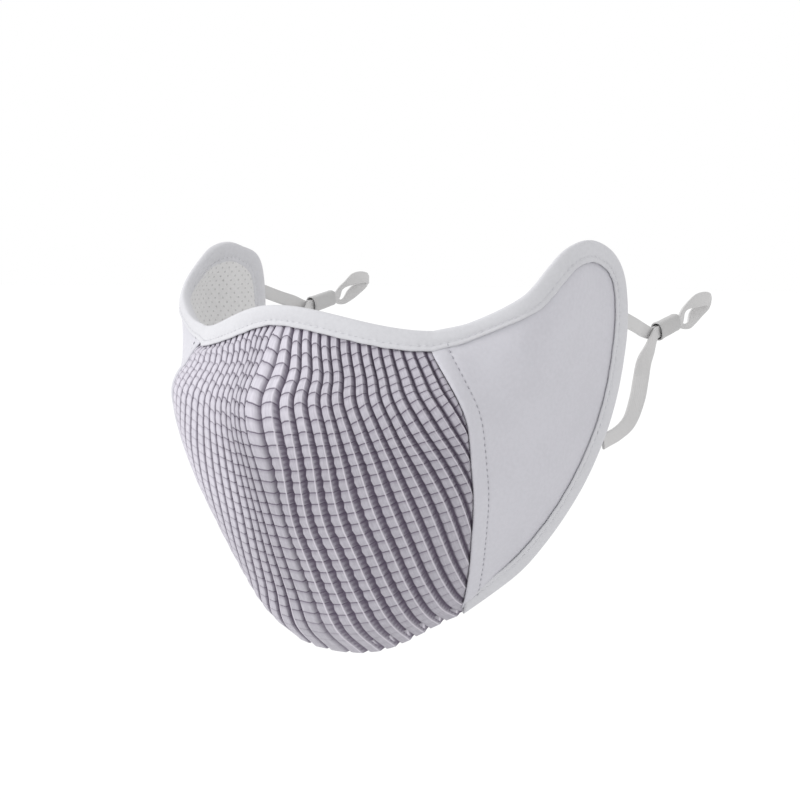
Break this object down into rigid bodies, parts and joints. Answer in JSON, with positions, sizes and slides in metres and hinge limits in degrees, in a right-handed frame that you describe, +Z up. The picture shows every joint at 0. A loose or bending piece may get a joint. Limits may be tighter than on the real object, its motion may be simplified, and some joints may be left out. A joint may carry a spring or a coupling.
{
  "type": "sun protection face mask",
  "caption": "Cloth face mask with a pleated front between smooth cheek panels, a folded edge binding, a perforated lining and elastic ear loops.",
  "frame": {"origin": "middle of the top edge, where the mask sits on the bridge of the nose", "axes": "+Z up as worn, -Y out of the front of the mask, +X to the wearer's left"},
  "size_m": [0.1568, 0.1573, 0.1357],
  "materials": {
    "pleated_cloth": "matte crinkled cloth",
    "smooth_cloth": "smooth fine knit",
    "binding": "smooth fine knit, topstitched",
    "mesh_lining": "perforated knit",
    "elastic": "matte flat elastic",
    "sleeve_cloth": "matte knit"
  },
  "bodies": {
    "root": {"front_panel": "pleated_cloth", "lining": "mesh_lining", "edge_binding": "binding", "side_panel_left": "smooth_cloth", "side_panel_right": "smooth_cloth", "ear_loop_left": "elastic", "ear_loop_right": "elastic", "loop_sleeve_left": "sleeve_cloth", "loop_sleeve_right": "sleeve_cloth"}
  },
  "joints": []
}
